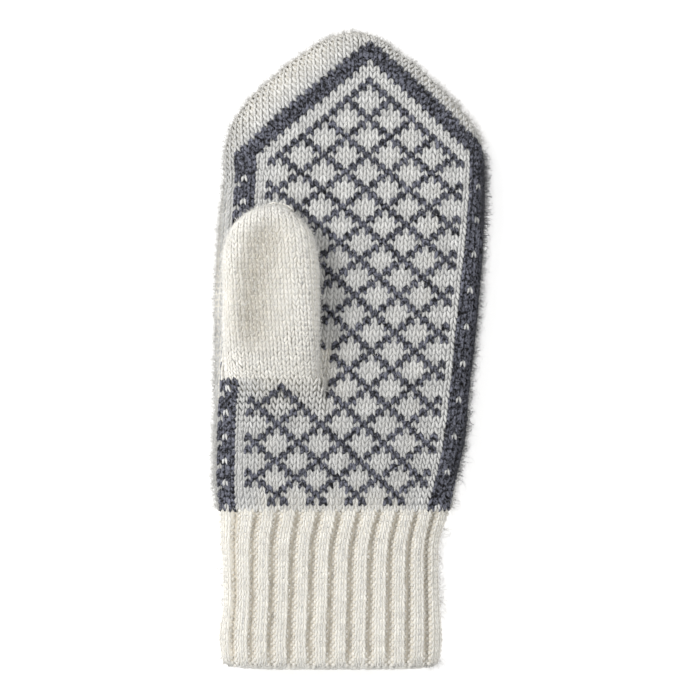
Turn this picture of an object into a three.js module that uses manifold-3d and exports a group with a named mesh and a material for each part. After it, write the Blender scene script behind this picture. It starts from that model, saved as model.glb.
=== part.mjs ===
// A knitted wool mitten, lying on its back with the palm up and the thumb on top of the palm.
// It is knitted as one hollow bag, and made here of its three knitted sections:
// the ribbed cuff, the hand with its closed fingertip end, and the thumb.
// X runs across the palm, Y runs from the hem of the cuff to the fingertip, and Z is up.

import * as THREE from "three";
import { mergeVertices } from "three/addons/utils/BufferGeometryUtils.js";
import Module from "manifold-3d";

const wasm = await Module();
wasm.setup();

// Driving dimensions, in millimetres.
const WALL = 3; // thickness of the two-colour knitting, with the floats on its inside
const SEAM_GAP = 0.3; // gap between sections that are knitted onto each other
const FOLD_EXTRA = 0.3; // extra thickness of the wall where it is folded round a side edge
const CUFF_TOP = 64; // length of the ribbed cuff
const PALM_MARGIN = 24; // width over which the palm rounds down to the folded side edge
const BACK_MARGIN = 12; // width over which the back rounds up to the folded side edge
const THUMB_MARGIN = 13; // the same margin over the thumb
const THUMB_UNDER_MARGIN = 6; // and under the thumb
const THUMB_FOLD = 0.42; // height of the thumb's side edge, as a share of the thumb's own height
const THUMB_HOLE_START = 119.5; // distance from the hem to the near end of the hole under the thumb
const THUMB_HOLE_END = 142; // and to its far end
const HOLE_DEPTH = 9; // how far the cut of that hole reaches down below the palm
const HAND_END = 262.2; // length of the mitten
const HAND_HOLLOW_LAST = 249.5; // last full section of the hand's hollow
const HAND_HOLLOW_END = 255.5; // the hollow stops short of the fingertips, where the knitting is gathered
const THUMB_HOLLOW_LAST = 179; // last full section of the thumb's hollow
const THUMB_HOLLOW_END = 185.5; // and short of the tip of the thumb
const ROUNDNESS = 2.2; // exponent of the rounded margins: 2 is an ellipse, more is squarer
const RIB_COUNT = 24; // ribs around the cuff
const RIB_DEPTH = 1.6; // depth of the furrow between two ribs
const RIB_FADE = 5; // length over which the ribs run out into the hand
const HEM_ROUNDING = 0.8; // rounding of the cast-on edge
const OVERRUN = 2; // how far a cutting solid reaches past the face that it cuts open
const MERGE_DISTANCE = 1e-3; // points closer than this are one point

// Points across one side of a section.
const POINTS_ACROSS_HAND = 26;
const POINTS_ACROSS_CUFF = 60;
const POINTS_ACROSS_THUMB = 18;

// Sections of the mitten. y: distance from the hem. middle: the section's centre, measured from the
// centre of the hem. half: half the width. crown: height of the palm. fold: height of the side edge.
const SECTIONS = [
  { y: 0, middle: 0.4, half: 43.4, crown: 16.4, fold: 7.6 },
  { y: 1.6, middle: 0.2, half: 44.4, crown: 16.6, fold: 7.7 },
  { y: 4, middle: 0, half: 45.2, crown: 16.8, fold: 7.8 },
  { y: 9.5, middle: 0, half: 46.5, crown: 17, fold: 7.9 },
  { y: 28, middle: 0.4, half: 45.3, crown: 17.2, fold: 8 },
  { y: 41, middle: -0.2, half: 45.1, crown: 17.4, fold: 8 },
  { y: 53, middle: -0.6, half: 46.3, crown: 17.8, fold: 8 },
  { y: CUFF_TOP, middle: 0.3, half: 48.5, crown: 18.4, fold: 8 },
  { y: 77, middle: 0.6, half: 50.4, crown: 19.4, fold: 8.2 },
  { y: 95.5, middle: 2.9, half: 52.3, crown: 20.3, fold: 8.4 },
  { y: 114, middle: 3.9, half: 52.9, crown: 20.8, fold: 8.5 },
  { y: 132.5, middle: 5.1, half: 54.1, crown: 21, fold: 8.5 },
  { y: 151, middle: 6.0, half: 55, crown: 21, fold: 8.5 },
  { y: 169.5, middle: 7.2, half: 55.4, crown: 21, fold: 8.5 },
  { y: 188, middle: 8.6, half: 55.1, crown: 20.8, fold: 8.5 },
  { y: 200, middle: 9.4, half: 54.3, crown: 20.4, fold: 8.4 },
  { y: 212.5, middle: 9.2, half: 53.7, crown: 19.8, fold: 8.3 },
  { y: 218.5, middle: 9.4, half: 52.7, crown: 19.3, fold: 8.2 },
  { y: 224.5, middle: 8.6, half: 49.8, crown: 18.8, fold: 8.1 },
  { y: 231, middle: 8.2, half: 45.1, crown: 18.1, fold: 8 },
  { y: 237, middle: 7.8, half: 40, crown: 17.4, fold: 7.8 },
  { y: 243, middle: 7.6, half: 33.3, crown: 16.6, fold: 7.6 },
  { y: 249.5, middle: 7.8, half: 26.2, crown: 15.6, fold: 7.4 },
  { y: 255, middle: 7.8, half: 18.2, crown: 14.6, fold: 7.2 },
  { y: 258.5, middle: 8.0, half: 13.2, crown: 13.8, fold: 7 },
  { y: 261.2, middle: 8.2, half: 7, crown: 13, fold: 7 },
  { y: HAND_END, middle: 8.4, half: 0, crown: 12.6, fold: 7 },
];

// Sections of the thumb, with the same y, middle and half. rise: height over the palm, which grows
// from the edge of the hole, so that the front of the thumb carries on from the palm below it.
const THUMB_SECTIONS = [
  { y: 112, middle: -24.4, half: 20.2, rise: 1.6 },
  { y: 117, middle: -24.4, half: 20.7, rise: 5 },
  { y: 124, middle: -24.5, half: 21, rise: 9 },
  { y: 132, middle: -24.6, half: 21.2, rise: 12.4 },
  { y: 142, middle: -24.6, half: 21.4, rise: 15 },
  { y: 154, middle: -24.6, half: 21.4, rise: 16 },
  { y: 165, middle: -24.5, half: 21.2, rise: 16 },
  { y: 173, middle: -24.4, half: 20, rise: 15.5 },
  { y: 179, middle: -24.3, half: 17.6, rise: 14.8 },
  { y: 184, middle: -24.3, half: 13.8, rise: 13.8 },
  { y: 187.5, middle: -24.4, half: 9, rise: 12.8 },
  { y: 189.4, middle: -24.4, half: 4.4, rise: 12 },
  { y: 190, middle: -24.4, half: 0, rise: 11.6 },
];

// Rib profile around the cuff: share of the rib's pitch, and depth as a share of the full furrow.
const RIB_PROFILE = [
  { at: 0, depth: 1 },
  { at: 0.2, depth: 0.12 },
  { at: 0.5, depth: 0 },
  { at: 0.8, depth: 0.12 },
];

// The row of a table at a distance y from the hem, worked out between its two neighbours.
function rowAt(table, y) {
  let next = 1;
  while (next < table.length - 1 && table[next].y < y) next += 1;
  const low = table[next - 1];
  const high = table[next];
  const share = THREE.MathUtils.clamp((y - low.y) / (high.y - low.y), 0, 1);
  const row = {};
  for (const key of Object.keys(low)) row[key] = THREE.MathUtils.lerp(low[key], high[key], share);
  return row;
}

// The outline seen from above: up the left side, over the tip and down the right side.
function outlineOf(table) {
  const left = table.map((row) => new THREE.Vector2(row.middle - row.half, row.y));
  const right = table.map((row) => new THREE.Vector2(row.middle + row.half, row.y));
  return left.concat(right.reverse());
}

// How far inside an outline a point lies, measured to the nearest edge.
function insetFrom(outline, x, y) {
  const nearest = new THREE.Vector3();
  const point = new THREE.Vector3(x, y, 0);
  const edge = new THREE.Line3();
  let least = Infinity;
  for (let i = 1; i < outline.length; i += 1) {
    edge.start.set(outline[i - 1].x, outline[i - 1].y, 0);
    edge.end.set(outline[i].x, outline[i].y, 0);
    edge.closestPointToPoint(point, true, nearest);
    least = Math.min(least, nearest.distanceTo(point));
  }
  return least;
}

// A rounded margin: 0 at the edge, 1 from the full width of the margin on.
function rounded(inset, margin) {
  const left = 1 - Math.min(inset / margin, 1);
  return (1 - left ** ROUNDNESS) ** (1 / ROUNDNESS);
}

const handOutline = outlineOf(SECTIONS);
const thumbOutline = outlineOf(THUMB_SECTIONS);

// Heights over the surface that the mitten lies on. Each takes the depth under the outer surface:
// 0 for the outside of the knitting, and the thickness of the wall for its inside.
function palmHeight(x, y, depth = 0) {
  const { crown, fold } = rowAt(SECTIONS, y);
  const inset = Math.max(insetFrom(handOutline, x, y) - depth, 0);
  return fold + (crown - depth - fold) * rounded(inset, PALM_MARGIN - depth);
}

function backHeight(x, y, depth = 0) {
  const { fold } = rowAt(SECTIONS, y);
  const inset = Math.max(insetFrom(handOutline, x, y) - depth, 0);
  return fold + (depth - fold) * rounded(inset, BACK_MARGIN - depth);
}

// The thumb's upper side and its underside, which lies on the palm, with its side edge between them.
function thumbTop(x, y, depth = 0) {
  const { rise } = rowAt(THUMB_SECTIONS, y);
  const inset = Math.max(insetFrom(thumbOutline, x, y) - depth, 0);
  const share = rounded(inset, THUMB_MARGIN - depth);
  return palmHeight(x, y) + rise * THUMB_FOLD + (rise * (1 - THUMB_FOLD) - depth) * share;
}

function thumbUnder(x, y, depth = 0) {
  const { rise } = rowAt(THUMB_SECTIONS, y);
  const inset = Math.max(insetFrom(thumbOutline, x, y) - depth, 0);
  const share = rounded(inset, THUMB_UNDER_MARGIN - depth);
  const bottom = depth + SEAM_GAP;
  return palmHeight(x, y) + rise * THUMB_FOLD + (bottom - rise * THUMB_FOLD) * share;
}

// One closed ring of points: over the upper side from left to right, and back along the lower side.
// The points lie closer together near the side edges, where the section is most curved.
function ring(row, across, upper, lower, depth = 0) {
  const xAt = (i) => row.middle - row.half * Math.cos((Math.PI * i) / across);
  const points = [];
  for (let i = 0; i <= across; i += 1)
    points.push(new THREE.Vector3(xAt(i), row.y, upper(xAt(i), row.y, depth)));
  for (let i = across - 1; i > 0; i -= 1)
    points.push(new THREE.Vector3(xAt(i), row.y, lower(xAt(i), row.y, depth)));
  return points;
}

// The rows of a table between two distances from the hem, with a row at each of the two.
function rowsBetween(table, start, end) {
  const inside = table.filter((row) => row.y > start + SEAM_GAP && row.y < end - SEAM_GAP);
  return [rowAt(table, start), ...inside, rowAt(table, end)].map((row) => ({ ...row }));
}

// The same rows made narrower by the wall, which takes more of the width where the outline slopes.
function hollowRows(table, start, end) {
  return rowsBetween(table, start, end).map((row) => {
    const ahead = rowAt(table, row.y + 1);
    const behind = rowAt(table, row.y - 1);
    const slope = (ahead.half - behind.half) / (ahead.y - behind.y || 1);
    return { ...row, half: row.half - (WALL + FOLD_EXTRA) * Math.hypot(1, slope) };
  });
}

// The ring moved along Y, to carry a cutting solid out past an open end.
function movedRing(points, step) {
  return points.map((point) => new THREE.Vector3(point.x, point.y + step, point.z));
}

// A ring drawn together to one point, which closes the tip of a hollow.
function tipRing(points, x, y, z) {
  return points.map(() => new THREE.Vector3(x, y, z));
}

// A ring of the cuff: the plain ring walked round at a steady pace, and sunk in at each furrow.
function ribbedRing(points, furrow, sunk) {
  const around = new THREE.CatmullRomCurve3(points, true);
  around.arcLengthDivisions = points.length * 4;
  const ribbed = [];
  for (let rib = 0; rib < RIB_COUNT; rib += 1)
    for (const { at, depth } of RIB_PROFILE) {
      const share = (rib + at) / RIB_COUNT;
      const tangent = around.getTangentAt(share);
      const outward = new THREE.Vector3(-tangent.z, 0, tangent.x).normalize();
      ribbed.push(around.getPointAt(share).addScaledVector(outward, -(furrow * depth + sunk)));
    }
  return ribbed;
}

// A closed solid lofted through rings with equal numbers of points, with a flat cap at each end.
function loft(rings) {
  const positions = [];
  const faces = [];
  const count = rings[0].length;
  const half = count / 2;
  const end = rings.length - 1;
  const at = (i, j) => i * count + (j % count);
  for (const points of rings) for (const point of points) positions.push(point.x, point.y, point.z);
  for (let i = 0; i < end; i += 1)
    for (let j = 0; j < count; j += 1) {
      faces.push([at(i, j), at(i, j + 1), at(i + 1, j + 1)]);
      faces.push([at(i, j), at(i + 1, j + 1), at(i + 1, j)]);
    }
  for (let j = 0; j < half; j += 1) {
    const below = count - j;
    faces.push([at(0, j), at(0, below), at(0, below - 1)]);
    faces.push([at(0, j), at(0, below - 1), at(0, j + 1)]);
    faces.push([at(end, j), at(end, below - 1), at(end, below)]);
    faces.push([at(end, j), at(end, j + 1), at(end, below - 1)]);
  }
  return solidFrom(positions, faces);
}

// A solid for joining and cutting, from points and triangles. Points in one place are merged, and
// triangles that come to nothing there are left out.
function solidFrom(positions, faces) {
  const geometry = new THREE.BufferGeometry();
  geometry.setAttribute("position", new THREE.Float32BufferAttribute(positions, 3));
  geometry.setIndex(faces.flat());
  const merged = mergeVertices(geometry, MERGE_DISTANCE);
  const index = merged.index.array;
  const kept = [];
  for (let i = 0; i < index.length; i += 3) {
    const [a, b, c] = index.slice(i, i + 3);
    if (a !== b && b !== c && c !== a) kept.push(a, b, c);
  }
  const mesh = new wasm.Mesh({
    numProp: 3,
    vertProperties: merged.attributes.position.array,
    triVerts: Uint32Array.from(kept),
  });
  return new wasm.Manifold(mesh);
}

// A named mesh of a finished solid.
function meshOf(name, solid, material) {
  const { vertProperties, triVerts, numProp } = solid.getMesh();
  const positions = [];
  for (let i = 0; i < vertProperties.length; i += numProp)
    positions.push(...vertProperties.slice(i, i + 3));
  const geometry = new THREE.BufferGeometry();
  geometry.setAttribute("position", new THREE.Float32BufferAttribute(positions, 3));
  geometry.setIndex([...triVerts]);
  geometry.computeVertexNormals();
  const mesh = new THREE.Mesh(geometry, material);
  mesh.name = name;
  return mesh;
}

// The cuff: a tube with ribs round it, open at the hem and where the hand begins.
function cuffSolid() {
  const rows = rowsBetween(SECTIONS, 0, CUFF_TOP);
  rows.splice(-1, 0, rowAt(SECTIONS, CUFF_TOP - RIB_FADE));
  const outer = rows.map((row) => {
    const plain = ring(row, POINTS_ACROSS_CUFF, palmHeight, backHeight);
    const furrow = row.y < CUFF_TOP ? RIB_DEPTH : 0;
    return ribbedRing(plain, furrow, row.y > 0 ? 0 : HEM_ROUNDING);
  });
  const inner = hollowRows(SECTIONS, 0, CUFF_TOP).map((row) =>
    ring(row, POINTS_ACROSS_HAND, palmHeight, backHeight, WALL),
  );
  inner.unshift(movedRing(inner[0], -OVERRUN));
  inner.push(movedRing(inner.at(-1), OVERRUN));
  return loft(outer).subtract(loft(inner));
}

// The hand: a flat bag, closed at the fingertips and open where the cuff is knitted on.
function handSolid() {
  const start = CUFF_TOP + SEAM_GAP;
  const outer = rowsBetween(SECTIONS, start, HAND_END).map((row) =>
    ring(row, POINTS_ACROSS_HAND, palmHeight, backHeight),
  );
  const inner = hollowRows(SECTIONS, start, HAND_HOLLOW_LAST).map((row) =>
    ring(row, POINTS_ACROSS_HAND, palmHeight, backHeight, WALL),
  );
  const { middle, fold } = rowAt(SECTIONS, HAND_HOLLOW_END);
  inner.unshift(movedRing(inner[0], -OVERRUN));
  inner.push(tipRing(inner[0], middle, HAND_HOLLOW_END, fold));
  return loft(outer).subtract(loft(inner));
}

// The thumb's outer form, which lies on the palm.
function thumbForm() {
  const rows = THUMB_SECTIONS;
  return loft(rows.map((row) => ring(row, POINTS_ACROSS_THUMB, thumbTop, thumbUnder)));
}

// The hollow of the thumb. Over the hole it reaches down through the palm into the hand.
function thumbHollow() {
  const holeFloor = (x, y) => palmHeight(x, y) - HOLE_DEPTH;
  const hole = hollowRows(THUMB_SECTIONS, THUMB_HOLE_START, THUMB_HOLE_END - SEAM_GAP);
  const beyond = hollowRows(THUMB_SECTIONS, THUMB_HOLE_END, THUMB_HOLLOW_LAST);
  const rings = [
    ...hole.map((row) => ring(row, POINTS_ACROSS_THUMB, thumbTop, holeFloor, WALL)),
    ...beyond.map((row) => ring(row, POINTS_ACROSS_THUMB, thumbTop, thumbUnder, WALL)),
  ];
  const { middle, rise } = rowAt(THUMB_SECTIONS, THUMB_HOLLOW_END);
  const z = palmHeight(middle, THUMB_HOLLOW_END) + rise * THUMB_FOLD;
  rings.push(tipRing(rings[0], middle, THUMB_HOLLOW_END, z));
  return loft(rings);
}

// Wool in the natural colour, and the mix of natural and charcoal that the patterned hand shows.
const naturalWool = new THREE.MeshStandardMaterial({ color: 0xd6d3c9, roughness: 0.95, metalness: 0 });
const mixedWool = new THREE.MeshStandardMaterial({ color: 0x8f8f8e, roughness: 0.95, metalness: 0 });

const hollow = thumbHollow();
const mitten = new THREE.Group();
mitten.add(meshOf("cuff", cuffSolid(), naturalWool));
mitten.add(meshOf("hand", handSolid().subtract(hollow), mixedWool));
mitten.add(meshOf("thumb", thumbForm().subtract(hollow), naturalWool));

// The origin lies under the middle of the mitten, on the surface that it rests on.
const box = new THREE.Box3().setFromObject(mitten);
const middle = box.getCenter(new THREE.Vector3());
mitten.position.set(-middle.x, -middle.y, -box.min.z);

export default mitten;
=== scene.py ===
# %% [markdown]
# # A hand-knitted wool mitten
#
# The mitten lies on its back with the palm up and the thumb folded over the palm. It is knitted in two
# colours, natural white and charcoal, and the cuff is ribbed. What makes a knitted thing look knitted
# is its stitches, so this lesson models one stitch and lays thousands of copies over the mitten's form.
# The form itself is already settled by the construction model, which is loaded first and not changed.

import math

import bpy
import numpy as np
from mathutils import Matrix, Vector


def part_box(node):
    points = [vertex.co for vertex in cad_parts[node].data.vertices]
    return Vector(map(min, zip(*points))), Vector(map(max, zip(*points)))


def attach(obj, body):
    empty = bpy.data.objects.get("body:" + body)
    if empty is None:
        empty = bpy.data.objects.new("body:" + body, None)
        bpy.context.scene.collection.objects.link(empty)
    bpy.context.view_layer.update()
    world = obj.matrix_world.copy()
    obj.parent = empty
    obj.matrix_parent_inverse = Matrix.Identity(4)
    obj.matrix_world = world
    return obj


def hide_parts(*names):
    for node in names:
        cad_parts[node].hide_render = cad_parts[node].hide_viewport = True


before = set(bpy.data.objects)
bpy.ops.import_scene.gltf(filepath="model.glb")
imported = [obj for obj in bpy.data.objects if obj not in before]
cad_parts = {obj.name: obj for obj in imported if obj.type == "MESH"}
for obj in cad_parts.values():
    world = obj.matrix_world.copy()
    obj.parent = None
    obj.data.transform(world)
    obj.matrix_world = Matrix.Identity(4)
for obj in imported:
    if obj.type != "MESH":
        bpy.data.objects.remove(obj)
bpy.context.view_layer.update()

# %% [markdown]
# ## Camera, floor and light
#
# The mitten is seen from straight above, so the camera looks down with a long lens, which keeps the
# sides nearly parallel. One picture point stands for 0.41 mm at the height of the palm, as the mitten's
# real size asks. The floor is a pale sheet, and the light is soft, a little stronger from the upper left.

# %% Camera
MM = 0.001
PICTURE_POINTS = 700
PICTURE_SIDE = PICTURE_POINTS * 0.41 * MM
LENS = 150.0
SENSOR = 36.0
PALM_LEVEL = 18 * MM

camera_height = PALM_LEVEL + PICTURE_SIDE / 2 / (SENSOR / 2 / LENS)
camera_data = bpy.data.cameras.new("camera")
camera_data.lens = LENS
camera_data.sensor_width = SENSOR
camera = bpy.data.objects.new("camera", camera_data)
camera.location = (0, 0, camera_height)
bpy.context.scene.collection.objects.link(camera)
bpy.context.scene.camera = camera
bpy.context.scene.view_settings.view_transform = "Standard"
print("camera height in mm:", round(camera_height / MM))


# %% Floor
def deselect():
    """Deselect everything, because an operator acts on all that is selected."""
    bpy.ops.object.select_all(action="DESELECT")


def select_only(piece):
    """Select one piece and make it the one that operators act on."""
    deselect()
    piece.select_set(True)
    bpy.context.view_layer.objects.active = piece


def set_inputs(node, values):
    """Give inputs of a node their values."""
    for name, value in values.items():
        node.inputs[name].default_value = value


FLOOR_SIDE = 5.0
FLOOR_COLOUR = (0.93, 0.93, 0.93, 1)
FLOOR_GLOW = 0.4  # the floor is lit from below as well, so that shadows on it stay pale

deselect()
bpy.ops.mesh.primitive_plane_add(size=FLOOR_SIDE, location=(0, 0, 0))
floor = bpy.context.object
floor.name = "floor"
floor_paint = bpy.data.materials.new("pale_floor")
floor_paint.use_nodes = True
set_inputs(floor_paint.node_tree.nodes["Principled BSDF"], {
    "Base Color": FLOOR_COLOUR,
    "Emission Color": (1, 1, 1, 1),
    "Emission Strength": FLOOR_GLOW,
    "Roughness": 0.9,
    "Specular IOR Level": 0.1,
})
floor.data.materials.append(floor_paint)


# %% Light
def softbox(name, place, size, power):
    """A square area light that looks at the mitten."""
    data = bpy.data.lights.new(name, "AREA")
    data.size = size
    data.energy = power
    light = bpy.data.objects.new(name, data)
    light.location = place
    towards = light.location.copy()
    towards.negate()
    light.rotation_euler = towards.to_track_quat("-Z", "Y").to_euler()
    bpy.context.scene.collection.objects.link(light)
    return light


softbox("key_light", (-1.05, 0.5, 1.15), 0.6, 21)
softbox("fill_light", (0.9, -0.6, 1.4), 1.4, 7)
world = bpy.data.worlds.new("studio")
bpy.context.scene.world = world
world.use_nodes = True
set_inputs(world.node_tree.nodes["Background"], {"Color": (1, 1, 1, 1), "Strength": 0.56})

# %% [markdown]
# ## The form of the mitten, as measures
#
# The knitting is first thought of as flat, as it would lie cut open, and then carried onto the form.
# These tables follow the sections of the construction model within a millimetre or two, with the outline
# drawn a little truer to the real mitten: how wide each section is, how high the palm stands, and how
# high the folded side edge is. Between the rows a smooth curve is drawn.

# %% Sections of the hand and the cuff
KNIT_START = 64.8 * MM  # where the ribs end and the patterned hand begins
PALM_MARGIN = 24 * MM
BACK_MARGIN = 12 * MM
ROUNDNESS = 2.2
BELOW_HEM = -40 * MM  # the side edges are drawn out past the hem, so that the hem itself is no edge

# One row for each section: distance from the hem, middle, half width, height of the palm, of the fold.
SECTIONS = np.array([
    (0.0, -1.1, 43.3, 16.4, 7.6),
    (1.6, -1.3, 44.8, 16.6, 7.7),
    (4.0, -1.4, 45.7, 16.8, 7.8),
    (9.5, -1.5, 46.7, 17.0, 7.9),
    (28.0, -1.1, 45.3, 17.2, 8.0),
    (41.0, -1.4, 45.2, 17.4, 8.0),
    (53.0, -1.6, 46.1, 17.8, 8.0),
    (64.0, -0.1, 48.5, 18.4, 8.0),
    (77.0, 0.2, 50.2, 19.4, 8.2),
    (95.5, 2.2, 52.1, 20.3, 8.4),
    (114.0, 3.1, 52.6, 20.8, 8.5),
    (132.5, 4.2, 53.7, 21.0, 8.5),
    (151.0, 5.1, 54.5, 21.0, 8.5),
    (169.5, 6.2, 54.9, 21.0, 8.5),
    (188.0, 7.2, 54.6, 20.8, 8.5),
    (200.0, 8.0, 54.0, 20.4, 8.4),
    (212.5, 7.9, 53.5, 19.8, 8.3),
    (218.5, 8.1, 52.5, 19.3, 8.2),
    (224.5, 7.4, 49.8, 18.8, 8.1),
    (231.0, 7.0, 45.2, 18.1, 8.0),
    (237.0, 6.7, 40.2, 17.4, 7.8),
    (243.0, 6.7, 33.6, 16.6, 7.6),
    (249.5, 7.0, 26.6, 15.6, 7.4),
    (255.0, 7.2, 18.8, 14.6, 7.2),
    (258.8, 7.6, 13.6, 13.8, 7.0),
    (261.6, 8.0, 7.3, 13.0, 7.0),
    (262.7, 8.2, 0.0, 12.6, 7.0),
]) * MM
DISTANCE, MIDDLE, HALF, CROWN, FOLD = range(5)

# The mitten's own measures start under the middle of the hem. The frame says where that is.
cuff_low, cuff_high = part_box("cuff")
cuff_end_row = SECTIONS[SECTIONS[:, DISTANCE] == 64 * MM][0]
HEM_X = (cuff_low[0] + cuff_high[0]) / 2 - cuff_end_row[MIDDLE]
HEM_Y = cuff_low[1]
print("hem starts at", round(HEM_X / MM, 2), round(HEM_Y / MM, 2))


# %% Smooth curves through a table
NEARBY = 0.4 * MM  # how far apart two places are taken to find a direction


def smooth_through(places, values, at):
    """A smooth curve through values at rising places, read at other places."""
    places = np.asarray(places, dtype=float)
    values = np.asarray(values, dtype=float)
    at = np.clip(at, places[0], places[-1])
    slope = np.gradient(values, places)
    i = np.clip(np.searchsorted(places, at) - 1, 0, len(places) - 2)
    span = places[i + 1] - places[i]
    t = (at - places[i]) / span
    start = (1 + 2 * t) * (1 - t) ** 2 * values[i] + t * (1 - t) ** 2 * span * slope[i]
    end = t**2 * (3 - 2 * t) * values[i + 1] + t**2 * (t - 1) * span * slope[i + 1]
    return start + end


def measure_at(table, measure, distance):
    """One measure of the sections in a table, at a distance from the hem."""
    return smooth_through(table[:, DISTANCE], table[:, measure], distance)


OUTLINE_STEP = 2 * MM
ON_THE_LINE = 0.3 * MM  # nearer than this, the way inwards is square to the outline's own run


def outline_of(table):
    """The outline from above: up the left side, over the tip and down the right side."""
    left = np.column_stack([table[:, MIDDLE] - table[:, HALF], table[:, DISTANCE]])
    right = np.column_stack([table[:, MIDDLE] + table[:, HALF], table[:, DISTANCE]])[::-1][1:]
    corners = np.vstack([left, right])
    step = np.hypot(*np.diff(corners, axis=0).T)
    along = np.concatenate([[0], np.cumsum(step)])
    at = np.arange(0, along[-1], OUTLINE_STEP)
    points = np.column_stack([smooth_through(along, corners[:, k], at) for k in range(2)])
    lowest = points[[0, -1]] * [1, 0] + [0, BELOW_HEM]
    return np.vstack([lowest[:1], points, lowest[1:]])


def nearest_edge(outline, points):
    """For each point, the nearest place on the outline, the way inwards, and the distance inside."""
    start = outline[:-1]
    run = np.diff(outline, axis=0)
    square = (run**2).sum(axis=1)
    gap = points[:, None, :] - start[None]
    t = np.clip((gap * run).sum(axis=2) / square, 0, 1)
    foot = start[None] + t[..., None] * run[None]
    distance = np.hypot(*np.moveaxis(points[:, None, :] - foot, 2, 0))
    nearest = distance.argmin(axis=1)
    rows = np.arange(len(points))
    foot = foot[rows, nearest]
    distance = distance[rows, nearest]
    across = np.column_stack([run[nearest, 1], -run[nearest, 0]])
    across /= np.hypot(*across.T)[:, None]
    offset = points - foot
    side = np.where((offset * across).sum(axis=1) >= 0, 1.0, -1.0)
    clear = distance > ON_THE_LINE
    inward = across.copy()
    inward[clear] = side[clear, None] * offset[clear] / distance[clear, None]
    return foot, inward, side * distance


HAND_OUTLINE = outline_of(SECTIONS)
print("outline points:", len(HAND_OUTLINE))

# %% [markdown]
# ## From flat knitting to the rounded form
#
# Seen from above, the edge of the mitten hides part of the knitting, which turns down and under. The
# margin that turns is a rounded curve, so its length is measured along the curve: a stitch keeps its
# size as it goes over the edge. A point past the fold carries on along the underside.


# %% Rounded margins
def rounded(share):
    """Height of a rounded margin: 0 at the fold, 1 at the full width of the margin and beyond."""
    left = 1 - np.clip(share, 0, 1)
    return (1 - left**ROUNDNESS) ** (1 / ROUNDNESS)


def margin_curve(margin, rise):
    """Length along a rounded margin, and the distance in from the fold that goes with it."""
    inset = margin * (1 - np.cos(np.linspace(0, math.pi / 2, 200)))
    height = rise * rounded(inset / margin)
    length = np.concatenate([[0], np.cumsum(np.hypot(np.diff(inset), np.diff(height)))])
    return length, inset


def inset_along(curve, length):
    """How far in from the fold a point lies, when it lies that far along the knitting."""
    lengths, insets = curve
    past = np.maximum(length - lengths[-1], 0)
    return np.interp(length, lengths, insets) + past


PALM_CURVE = margin_curve(PALM_MARGIN, 12.5 * MM)
BACK_CURVE = margin_curve(BACK_MARGIN, 8.5 * MM)
PALM_SPARE = PALM_CURVE[0][-1] - PALM_MARGIN
BACK_SPARE = BACK_CURVE[0][-1] - BACK_MARGIN
print("knitting hidden at each edge in mm:", round(PALM_SPARE / MM, 1), round(BACK_SPARE / MM, 1))


def palm_level(inset, distance):
    fold = measure_at(SECTIONS, FOLD, distance)
    crown = measure_at(SECTIONS, CROWN, distance)
    return fold + (crown - fold) * rounded(inset / PALM_MARGIN)


def back_level(inset, distance):
    fold = measure_at(SECTIONS, FOLD, distance)
    return fold * (1 - rounded(inset / BACK_MARGIN))


def carried(flat, spare, curve, other_curve, level, other_level):
    """Carry flat knitting onto one side of the mitten. Past the fold it goes on over the other side."""
    foot, inward, inset = nearest_edge(HAND_OUTLINE, flat)
    length = inset + spare
    here = inset_along(curve, np.maximum(length, 0))
    there = inset_along(other_curve, np.maximum(-length, 0))
    plan = foot + inward * np.where(length >= 0, here, there)[:, None]
    height = np.where(length >= 0, level(here, plan[:, 1]), other_level(there, plan[:, 1]))
    return np.column_stack([plan + [HEM_X, HEM_Y], height])


def on_palm(flat):
    return carried(flat, PALM_SPARE, PALM_CURVE, BACK_CURVE, palm_level, back_level)


def on_back(flat):
    return carried(flat, BACK_SPARE, BACK_CURVE, PALM_CURVE, back_level, palm_level)


# %% Sections of the thumb
THUMB_MARGIN = 10 * MM
THUMB_UNDER_MARGIN = 6 * MM
THUMB_START = 119 * MM  # where the thumb's own stitches begin, above the palm pattern
THUMB_EDGE = 0.42  # height of the thumb's side edge, as a share of its rise
THUMB_EDGE_RISE = 14 * MM  # length over which the side edge comes away from the palm
GUSSET_HALF_WIDTH = 21 * MM

# One row for each section: distance from the hem, middle, half width, rise over the palm.
THUMB_SECTIONS = np.array([
    (97.0, -24.4, 20.2, 0.0),
    (104.0, -24.4, 20.2, 0.6),
    (108.0, -24.4, 20.2, 1.3),
    (112.0, -24.8, 19.7, 2.8),
    (117.0, -25.1, 19.8, 6.0),
    (124.0, -25.4, 19.9, 10.2),
    (132.0, -25.6, 20.0, 13.2),
    (142.0, -25.6, 20.1, 15.0),
    (154.0, -25.6, 20.1, 16.0),
    (165.0, -25.7, 20.0, 16.0),
    (173.0, -26.0, 19.0, 15.5),
    (179.0, -25.9, 17.1, 14.8),
    (184.0, -26.2, 13.3, 13.8),
    (187.5, -25.9, 9.1, 12.8),
    (189.6, -25.0, 5.0, 12.0),
    (190.3, -24.6, 0.0, 11.6),
]) * MM
RISE = 3

THUMB_OUTLINE = outline_of(THUMB_SECTIONS)
THUMB_CURVE = margin_curve(THUMB_MARGIN, 9.3 * MM)
THUMB_UNDER_CURVE = margin_curve(THUMB_UNDER_MARGIN, 6.7 * MM)
THUMB_SPARE = THUMB_CURVE[0][-1] - THUMB_MARGIN

# The front of the thumb climbs from the palm, so its length is measured along that slope.
climb_at = np.linspace(THUMB_START, THUMB_SECTIONS[-1, DISTANCE], 80)
climb_rise = measure_at(THUMB_SECTIONS, RISE, climb_at)
climb = np.concatenate([[0], np.cumsum(np.hypot(np.diff(climb_at), np.diff(climb_rise)))])


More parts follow.
